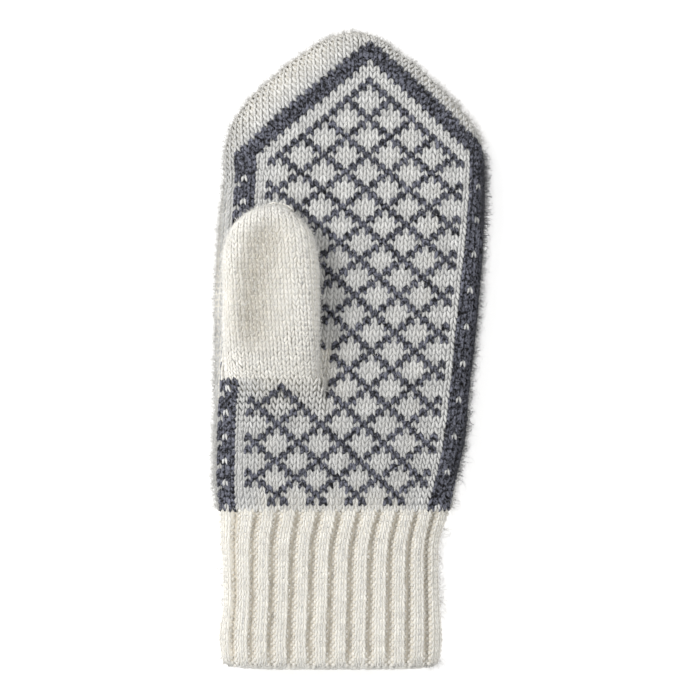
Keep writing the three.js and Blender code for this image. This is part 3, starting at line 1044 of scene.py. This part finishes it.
column_t, row_t = np.meshgrid(np.arange(-THUMB_COLUMNS, THUMB_COLUMNS + 1), np.arange(THUMB_ROWS))
column_t = column_t.ravel()
up_slope = THUMB_ROW_HEIGHT * (row_t.ravel() + 0.5)
sideways = THUMB_COLUMN_START + column_t * THUMB_COLUMN_WIDTH - up_slope * math.tan(THUMB_LEAN)
flat = np.column_stack([sideways, up_slope])
distance = np.interp(flat[:, 1], climb, climb_at) + np.maximum(flat[:, 1] - climb[-1], 0)
_, _, inset = nearest_edge(THUMB_OUTLINE, np.column_stack([flat[:, 0], distance]))
kept = inset + THUMB_SPARE > -THUMB_UNDER_CURVE[0][-1]
thumb_places = directions(on_thumb, flat[kept])
# Painted shade: stitches in the thumb's dent are drawn towards a deeper, warmer colour, the more the deeper
# the dent.
thumb_dent_shade = thumb_dent(thumb_places[0][:, :2] - [HEM_X, HEM_Y]) / DENT_DEPTH
thumb_stitch = knit_stitch("thumb_stitch", LEG_HALF_WIDTH * FULLER, LEG_HALF_DEPTH)
thumb_stitches = copies("thumb_stitches", thumb_stitch, thumb_places, size=FINER, turn=THUMB_LEAN,
                        sunk=STITCH_SINK, hollow=thumb_dent_shade)
dress(thumb_stitches, natural_wool, "natural_wool")

# %% [markdown]
# ## The ground behind the stitches
#
# Between the legs of the stitches one looks into the depth of the fabric, where the yarn crosses from
# loop to loop. That ground is a copy of the construction model, merged to one closed skin, made even by
# a voxel remesh, and drawn in a little so that the stitches stand on it. It takes the colour of the
# stitch that lies nearest, so that no white shows between charcoal legs.

# %% Make a ground from a construction solid
GROUND_VOXEL = 2.0 * MM
GROUND_DEPTH = 0.8 * MM


def move_points(piece, points):
    """Put the points of a piece in new places."""
    piece.data.vertices.foreach_set("co", points.ravel())
    piece.data.update()


def mark_points(piece, mark, values):
    """Give each point of a piece a value that its finish can read."""
    piece.data.attributes.new(mark, "FLOAT", "POINT").data.foreach_set("value", values)


def close_skin(piece, near):
    """Merge points that lie near each other and turn all faces outwards."""
    select_only(piece)
    bpy.ops.object.mode_set(mode="EDIT")
    bpy.ops.mesh.select_all(action="SELECT")
    bpy.ops.mesh.remove_doubles(threshold=near)
    bpy.ops.mesh.normals_make_consistent(inside=False)
    bpy.ops.object.mode_set(mode="OBJECT")


def modify(piece, kind, **settings):
    """Change the selected piece with a modifier of a kind."""
    modifier = piece.modifiers.new(kind, kind)
    for setting, value in settings.items():
        setattr(modifier, setting, value)
    bpy.ops.object.modifier_apply(modifier=kind)


def ground_of(node, name):
    """A closed, even copy of a construction solid, a little below its surface."""
    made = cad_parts[node].copy()
    made.data = made.data.copy()
    made.name = name
    made.data.name = name
    for key in list(made.keys()):
        del made[key]
    made.parent = None
    bpy.context.scene.collection.objects.link(made)
    made.hide_render = False
    made.hide_set(False)
    close_skin(made, 0.01 * MM)
    modify(made, "REMESH", mode="VOXEL", voxel_size=GROUND_VOXEL)
    modify(made, "DISPLACE", mid_level=0, strength=-GROUND_DEPTH)
    modify(made, "SMOOTH", factor=0.5, iterations=2)
    bpy.ops.object.shade_smooth()
    print(name, "faces:", len(made.data.polygons), "at", made.location[:])
    return made


# The stitches lie a little to the left of the construction model, and the ground follows them.
GROUND_ASIDE = np.array([(64, 0.0), (90, -0.5), (130, -0.8), (190, -1.0), (215, -0.5), (235, -0.3),
                         (262, 0.0)]) * MM
THUMB_GROUND_IN = 1.2 * MM  # it stays this far inside the outline of the thumb

hand_ground = ground_of("hand", "hand_ground")
points = points_of(hand_ground)
points[:, 0] += np.interp(points[:, 1] - HEM_Y, *GROUND_ASIDE.T)
move_points(hand_ground, points)
thumb_ground = ground_of("thumb", "thumb_ground")
points = points_of(thumb_ground)
plan = points[:, :2] - [HEM_X, HEM_Y]
_, inward, inset = nearest_edge(THUMB_OUTLINE, plan)
plan += inward * np.maximum(THUMB_GROUND_IN - inset, 0)[:, None]
points[:, :2] = plan + [HEM_X, HEM_Y]
highest = thumb_level(plan, np.maximum(inset, 0)) - 0.9 * GROUND_DEPTH
points[:, 2] = np.minimum(points[:, 2], highest)
move_points(thumb_ground, points)

# %% Colour the ground by the nearest stitch
from mathutils.kdtree import KDTree

FLOATS_FADE = 6 * MM  # at the folded sides no carried yarn shows through

all_places = np.vstack([palm_places[0], back_places[0]])
all_dark = np.concatenate([palm_dark, back_dark])
tree = KDTree(len(all_places))
for i, place in enumerate(all_places):
    tree.insert(place, i)
tree.balance()
nearest = [tree.find(point)[1] for point in points_of(hand_ground)]
mark_points(hand_ground, "charcoal", all_dark[nearest].astype(float))
all_floats = np.concatenate([palm_floats, back_floats])
_, _, inset = nearest_edge(HAND_OUTLINE, points_of(hand_ground)[:, :2] - [HEM_X, HEM_Y])
mark_points(hand_ground, "floats", all_floats[nearest] * np.clip(inset / FLOATS_FADE, 0, 1))
print("charcoal share of the ground:", round(all_dark[nearest].mean(), 3))


# %% Finish of the ground
def ground_wool(name, deep, light, marked=()):
    """The yarn behind the stitches, with a fine rough surface."""
    material, nodes, links, shader = new_finish(name, 1.0, 0.1)
    strands = noise_over(nodes, links, 1200)
    colour = mixed(nodes, links, strands, deep, light)
    for mark, other in marked:
        colour = mixed(nodes, links, value_of(nodes, mark), colour, other)
    links.new(colour, shader.inputs["Base Color"])
    links.new(raised(nodes, links, strands, 0.6, 0.3 * MM), shader.inputs["Normal"])
    return material


GROUND_DEEP = (0.70, 0.665, 0.58)
GROUND_LIGHT = (0.82, 0.79, 0.715)
GROUND_FLOATS = (0.38, 0.38, 0.38)
GROUND_CHARCOAL = (0.013, 0.0135, 0.017)
patterned_ground = ground_wool("patterned_ground", GROUND_DEEP, GROUND_LIGHT,
                               [("floats", GROUND_FLOATS), ("charcoal", GROUND_CHARCOAL)])
natural_ground = ground_wool("natural_ground", GROUND_DEEP, GROUND_LIGHT)
dress(hand_ground, patterned_ground, "patterned_wool", "hand")
dress(thumb_ground, natural_ground, "natural_wool", "thumb")

# %% [markdown]
# ## The ribbed cuff
#
# The cuff is knitted two plain, two purl. The plain stitches stand up as ribs, and the purl stitches
# between them draw back into furrows, which makes the cuff elastic. Twelve ribs show on the palm side
# and twelve on the back. A place on the cuff is given by its rib number round the wrist and its
# distance from the hem. On the palm side the ribs lean a little to the right towards the hand.

# %% Shape of the ribs
RIBS_A_SIDE = 12
RIB_WIDTH = 8.05 * MM
CUFF_ROUND_PALM = margin_curve(PALM_MARGIN, 9.2 * MM)
CUFF_ROUND_BACK = margin_curve(BACK_MARGIN, 8.0 * MM)
FURROW_DEPTH = 2.5 * MM
RIB_RIGHT = 0.79  # in ribs: where the right side of a rib begins to fall
FURROW_STEEP = 0.11  # width of the steep fall, of the flat bottom and of the gentle rise after it
FURROW_FLAT = 0.05
FURROW_GENTLE = 0.28
SLOW_WOBBLE = 0.016  # in ribs: how far each furrow wanders to the sides, in a slow and a fast wave
SLOW_WAVE = 3.1 * MM
FAST_WOBBLE = 0.01
FAST_WAVE = 1.3 * MM
OWN_BEAT = 2.4  # sets the slow wave of one furrow off from the next
RIBS_END = 68 * MM  # the furrows fade away where the hand begins
RIBS_FADE = 6 * MM
HEM_FADE = 7 * MM  # and they are shallow at the hem
HEM_FURROW = 0.15
CUFF_HALF = 45.5 * MM  # half the width of the cuff where the ribs have their full width
NARROWED = 0.3  # how much of their width goes along with that of the cuff
RIB_TOP_WANDER = np.array([(-5, 0), (0, 0), (25, 0), (41, 0.7), (53, 1.7), (64, 2.6), (80, 2.6)]) * MM
HEM_TUCK = 1.2 * MM  # how far the hem rolls in
HEM_TUCK_LENGTH = 3 * MM
BESIDE_SMOOTH = 0.02  # in ribs: the step to either side for a direction on the smooth cuff
BESIDE_RIBBED = 0.03  # and on the ribbed one


def eased(share):
    """From 0 to 1 with a gentle start and end."""
    return share**2 * (3 - 2 * share)


def furrow(turn, distance):
    """How far the surface is sunk at a place: nothing on a rib, and most in a furrow."""
    number = np.floor(np.mod(turn - RIB_RIGHT, 2 * RIBS_A_SIDE))
    wobble = SLOW_WOBBLE * np.sin(distance / SLOW_WAVE + OWN_BEAT * number)
    wobble = wobble + FAST_WOBBLE * np.sin(distance / FAST_WAVE)
    past = np.mod(turn - RIB_RIGHT + wobble, 1)
    down = np.clip(past / FURROW_STEEP, 0, 1)
    up = np.clip((past - FURROW_STEEP - FURROW_FLAT) / FURROW_GENTLE, 0, 1)
    share = eased(down) * (1 - eased(up))
    at_hand = np.clip((RIBS_END - distance) / RIBS_FADE, 0, 1)
    at_hem = HEM_FURROW + (1 - HEM_FURROW) * np.clip(distance / HEM_FADE, 0, 1)
    return FURROW_DEPTH * share * (at_hand * at_hem)


def on_cuff_side(turn, distance, palm):
    """Place on the palm side or the back side of the cuff. Turn is counted from the middle of the side."""
    half = measure_at(SECTIONS, HALF, distance)
    middle = measure_at(SECTIONS, MIDDLE, distance)
    curve, margin = (CUFF_ROUND_PALM, PALM_MARGIN) if palm else (CUFF_ROUND_BACK, BACK_MARGIN)
    half_length = half - margin + curve[0][-1]
    edge = RIBS_A_SIDE / 2
    width = RIB_WIDTH * (1 - NARROWED + NARROWED * half / CUFF_HALF)
    spare = half_length - edge * width
    wander = np.interp(distance, *RIB_TOP_WANDER.T) * (1 - (turn / edge) ** 2)
    reach = turn * width + np.sign(turn) * spare * np.maximum(np.abs(turn) - edge + 1, 0) ** 2 + wander
    inset = inset_along(curve, np.maximum(half_length - np.abs(reach), 0))
    plan_x = middle + np.sign(reach) * (half - inset)
    level = palm_level(inset, distance) if palm else back_level(inset, distance)
    return np.column_stack([plan_x + HEM_X, distance + HEM_Y, level])


def on_cuff_smooth(flat):
    """Place on the cuff without its ribs. The first measure is the rib number, the second the distance."""
    turn = np.mod(flat[:, 0] + RIBS_A_SIDE / 2, 2 * RIBS_A_SIDE) - RIBS_A_SIDE / 2
    palm = np.abs(turn) <= RIBS_A_SIDE / 2
    front = on_cuff_side(turn, flat[:, 1], True)
    behind = on_cuff_side(RIBS_A_SIDE - turn, flat[:, 1], False)
    return np.where(palm[:, None], front, behind)


def on_cuff(flat):
    """Place on the ribbed cuff."""
    place, _, _, out = directions(on_cuff_smooth, flat, BESIDE_SMOOTH)
    tuck = HEM_TUCK * np.clip(1 - flat[:, 1] / HEM_TUCK_LENGTH, 0, 1) ** 2
    return place - out * (furrow(flat[:, 0], flat[:, 1]) + tuck)[:, None]


def on_ribs(flat):
    """As directions, on the ribbed cuff."""
    return directions(on_cuff, flat, BESIDE_RIBBED)


def rib_grid(rows, beside):
    """Rib, row and place beside the others for every stitch of a kind."""
    grids = np.meshgrid(np.arange(2 * RIBS_A_SIDE), np.arange(rows), beside)
    return [grid.ravel() for grid in grids]


# %% Stitches of the ribs
RIB_ROW = 2.35 * MM
RIB_ROWS = 28
RIB_START = 0.45  # in rows, from the hem to the middle of the first stitch
RIB_MIDDLE = 0.49  # in ribs, where the two stitches of a rib meet
RIB_STITCH = 0.132  # and how far to the side of it the middle of each one lies
RIB_SIZE = (2.2 * MM / STITCH_WIDTH, 1, 0.85)
RIB_HALF_WIDTH = 0.74 * MM
RIB_LEAN = math.radians(16)
RIB_PAINTED_SHADE = 0.6
# Painted shade: the rib stitches and the cast-on edge are darker towards the hem, where the cuff rolls
# under.
HEM_PAINTED_SHADE = -0.16

rib, rib_row, side = rib_grid(RIB_ROWS, [-1, 1])
turn = rib + RIB_MIDDLE + RIB_STITCH * side
flat = np.column_stack([turn, RIB_ROW * (rib_row + RIB_START)])
rib_places = on_ribs(flat)
rib_stitch = knit_stitch("rib_stitch", RIB_HALF_WIDTH, LEG_HALF_DEPTH, RIB_LEAN)
# Painted shade: rib stitches that reach down into a furrow are drawn towards a deeper colour.
rib_furrow_shade = RIB_PAINTED_SHADE * np.sqrt(furrow(turn, flat[:, 1]) / FURROW_DEPTH)
rib_hem_shade = HEM_PAINTED_SHADE * np.clip(1 - flat[:, 1] / HEM_FADE, 0, 1)
rib_stitches = copies("rib_stitches", rib_stitch, rib_places, size=RIB_SIZE, sunk=STITCH_SINK, dark=rib_hem_shade,
                      hollow=rib_furrow_shade)
dress(rib_stitches, natural_wool, "natural_wool")

# %% Purl stitches of the furrows
# Two purl stitches show as three bumps: the two heads and, half a row higher, the bow that joins them.
PURL_HALF_WIDTH = 1.05 * MM
PURL_HALF_HEIGHT = 0.85 * MM
PURL_HALF_DEPTH = 0.5 * MM
PURL_PLACES = np.array([-0.13, -0.01, 0.11])  # in ribs, from the line between two ribs
PURL_START = 0.7  # in rows, as for the ribs
PURL_SINK = 0.3 * MM
# Painted shade: purl stitches are a little darker, and drawn towards a deeper colour the deeper they lie in
# a furrow.
PURL_PAINTED_SHADE = -0.02
PURL_HOLLOW_SHADE = 0.4

purl = spindle("purl", PURL_HALF_WIDTH, PURL_HALF_HEIGHT, PURL_HALF_DEPTH)
rib, rib_row, which = rib_grid(RIB_ROWS, [0, 1, 2])
turn = rib + PURL_PLACES[which]
flat = np.column_stack([turn, RIB_ROW * (rib_row + PURL_START + 0.5 * (which % 2))])
purl_places = on_ribs(flat)
# How deep each purl stitch lies in its furrow, which sets its painted shade.
purl_hollow = np.sqrt(furrow(turn, flat[:, 1]) / FURROW_DEPTH)
purl_stitches = copies("purl_stitches", purl, purl_places, sunk=PURL_SINK, dark=PURL_PAINTED_SHADE,
                       hollow=PURL_HOLLOW_SHADE * purl_hollow)
dress(purl_stitches, natural_wool, "natural_wool")

# %% Inside of the cuff
# On the inside the purl columns are the ones that stand up. They are knitted in as far as one can see.
WALL = 2.6 * MM
GROUND_SINK = 0.6 * MM
INSIDE_ROWS = 8
INSIDE_MIDDLE = 0.93  # in ribs, where the two stitches meet that stand up on the inside
INSIDE_SINK = 0.1 * MM
# Painted shade: the stitches inside the cuff are drawn a little towards a deeper colour.
INSIDE_PAINTED_SHADE = 0.3

rib, rib_row, side = rib_grid(INSIDE_ROWS, [-1, 1])
middle = rib + INSIDE_MIDDLE
flat = np.column_stack([middle + RIB_STITCH * side, RIB_ROW * (rib_row + PURL_START)])
place, across, along, out = directions(on_cuff_smooth, flat, BESIDE_SMOOTH)
depth = furrow(middle, flat[:, 1]) + GROUND_SINK + WALL
inside_places = (place - out * depth[:, None], -across, along, -out)
inside_stitches = copies("inside_stitches", rib_stitch, inside_places, size=RIB_SIZE, sunk=INSIDE_SINK,
                         hollow=INSIDE_PAINTED_SHADE)
dress(inside_stitches, natural_wool, "natural_wool")

# %% Cast-on edge
CAST_ON_STEP = 1 / 6  # in ribs
CAST_ON_SIZE = (1.7, 1.3, 1.4)
CAST_ON_HEIGHT = 0.2 * MM
CAST_ON_TURN = 0.25
CAST_ON_SINK = 0.5 * MM

turn = np.arange(0, 2 * RIBS_A_SIDE, CAST_ON_STEP) + CAST_ON_STEP / 2
flat = np.column_stack([turn, np.full(len(turn), CAST_ON_HEIGHT)])
cast_on_places = on_ribs(flat)
# The cast-on edge carries the hem's painted shade.
cast_on = copies("cast_on_edge", purl, cast_on_places, size=CAST_ON_SIZE, turn=CAST_ON_TURN,
                 sunk=CAST_ON_SINK, dark=HEM_PAINTED_SHADE, hollow=0.0)
dress(cast_on, natural_wool, "natural_wool")

# %% Ground of the cuff
ACROSS = 8 * 2 * RIBS_A_SIDE
UP = 28
CUFF_END = 66 * MM
CUFF_HEM = 0.6 * MM

deselect()
bpy.ops.mesh.primitive_grid_add(x_subdivisions=ACROSS, y_subdivisions=UP, size=1)
cuff_ground = bpy.context.object
cuff_ground.name = "cuff_ground"
square = points_of(cuff_ground)
flat = np.column_stack([
    (square[:, 0] + 0.5) * 2 * RIBS_A_SIDE,
    CUFF_HEM + (square[:, 1] + 0.5) * (CUFF_END - CUFF_HEM),
])
rounded_form = on_cuff(flat) - on_ribs(flat)[3] * GROUND_SINK
# Painted shade: the ground is drawn towards a deeper, warmer colour the deeper it lies in a furrow.
hollow = np.sqrt(furrow(flat[:, 0], flat[:, 1]) / FURROW_DEPTH)
mark_points(cuff_ground, "hollow", hollow)
move_points(cuff_ground, rounded_form)
close_skin(cuff_ground, 0.02 * MM)
modify(cuff_ground, "SOLIDIFY", thickness=WALL, offset=-1)
bpy.ops.object.shade_smooth()
print("cuff ground faces:", len(cuff_ground.data.polygons))
RIB_GROUND_PAINTED_SHADE = (0.66, 0.61, 0.52)
rib_ground = ground_wool("rib_ground", GROUND_DEEP, GROUND_LIGHT, [("hollow", RIB_GROUND_PAINTED_SHADE)])
dress(cuff_ground, rib_ground, "natural_wool", "cuff")

# %% [markdown]
# ## Down on the wool
#
# Loose fibres stand out of woollen yarn in all directions. They blur the edges of the stitches, and
# against a pale ground they show as a faint halo round the mitten. Each fibre here is a thin ribbon of
# two pieces that starts on a stitch and bends over. A hair system could grow them too, but ribbons
# are plain mesh, which every other program can read.

# %% Grow fibres
FIBRE_WIDTH = 0.055 * MM
ROOT_SPREAD = 1.2 * MM  # how far from the middle of its stitch a fibre may start
ROOT_SINK = 0.3 * MM
RISES = (0.2, 1)  # least and most of what differs from fibre to fibre
LENGTHS = (0.4, 1.3)
WIDTHS = (0.7, 1.3)
BEND = 0.5
ARCH = 1.6  # how long a fibre goes on rising before it bends over
TAPER = (1, 0.8, 0.3)  # width at its root, middle and end


def fibres(name, places, count, length, stand):
    """Thin bent ribbons that start on stitches. Stand is how steeply they leave the surface."""
    place, across, along, out = places
    start = chance.integers(0, len(place), count)
    spin = chance.uniform(0, 2 * math.pi, count)[:, None]
    flat_way = across[start] * np.cos(spin) + along[start] * np.sin(spin)
    root = place[start] - out[start] * ROOT_SINK
    for way in (across, along):
        root = root + way[start] * chance.uniform(-ROOT_SPREAD, ROOT_SPREAD, count)[:, None]
    rise = chance.uniform(*RISES, count)[:, None] * stand
    long = length * chance.uniform(*LENGTHS, count)[:, None]
    aside = np.cross(out[start], flat_way)
    bend = chance.normal(0, BEND, count)[:, None]
    width = FIBRE_WIDTH * chance.uniform(*WIDTHS, count)[:, None]
    spine = [root + (flat_way * t + out[start] * rise * t * (ARCH - t) + aside * bend * t * t) * long
             for t in (0, 0.5, 1)]
    edges = []
    for point, taper in zip(spine, TAPER):
        thin = width * taper
        edges += [point - aside * thin, point + aside * thin]
    points = np.stack(edges, axis=1).reshape(-1, 3)
    points[:, 2] = np.maximum(points[:, 2], 0)  # none reaches through the table
    base = 6 * np.arange(count)[:, None, None]
    quads = base + np.array([[0, 1, 3, 2], [2, 3, 5, 4]])
    mesh = bpy.data.meshes.new(name)
    mesh.from_pydata(points.tolist(), [], quads.reshape(-1, 4).tolist())
    made = bpy.data.objects.new(name, mesh)
    bpy.context.scene.collection.objects.link(made)
    print(name, "fibres:", count)
    return made


def joined(*several):
    return tuple(np.concatenate(parts) for parts in zip(*several))


hand_places = joined(chosen(palm_places, ~palm_dark), chosen(back_places, ~back_dark))
plain_places = joined(thumb_places, rib_places)
dark_places = joined(chosen(palm_places, palm_dark), chosen(back_places, back_dark))
STEEP = 0.55  # upward part of the outward arrow, below which a place counts as steep


def on_the_sides(places):
    """Only the places where the surface stands steeply, which form the outline from above."""
    return chosen(places, np.abs(places[3][:, 2]) < STEEP)


natural_down = fibres("natural_down", hand_places, 7000, 1.7 * MM, 0.6)
plain_down = fibres("plain_down", plain_places, 12000, 1.8 * MM, 0.6)
outer_places = joined(hand_places, chosen(rib_places, rib_furrow_shade < 0.3))
natural_halo = fibres("natural_halo", on_the_sides(outer_places), 10000, 3.8 * MM, 1.2)
thumb_halo = fibres("thumb_halo", on_the_sides(thumb_places), 2000, 2.4 * MM, 1.1)
charcoal_down = fibres("charcoal_down", dark_places, 7000, 1.8 * MM, 0.4)
charcoal_halo = fibres("charcoal_halo", on_the_sides(dark_places), 3500, 4.6 * MM, 1.3)


# %% Finish of the fibres
def down(name, colour):
    """A plain matt finish for thin fibres, a little uneven in tone."""
    material, nodes, links, shader = new_finish(name, 0.8, 0.2)
    deep = tuple(0.85 * c for c in colour)
    links.new(mixed(nodes, links, noise_over(nodes, links, 300), deep, colour), shader.inputs["Base Color"])
    return material


natural_fibre = down("natural_fibre", (0.85, 0.84, 0.81))
# Painted shade: the halo fibres are the natural fibre colour made darker, for thin fibres that stand in
# shade against the pale floor.
shaded_halo_fibre = down("shaded_halo_fibre", (0.6, 0.59, 0.57))
charcoal_fibre = down("charcoal_fibre", (0.10, 0.102, 0.115))
for piece in (natural_down, plain_down, thumb_halo):
    dress(piece, natural_fibre, "natural_wool")
dress(natural_halo, shaded_halo_fibre, "natural_wool")
for piece in (charcoal_down, charcoal_halo):
    dress(piece, charcoal_fibre, "charcoal_wool")

# %% [markdown]
# ## Removing the pattern shapes
#
# The pattern shapes that were copied are no pieces of the mitten, so they go.

# %% Remove the pattern shapes
for shape in (stitch, full_stitch, purl, thumb_stitch, rib_stitch):
    bpy.data.objects.remove(shape)
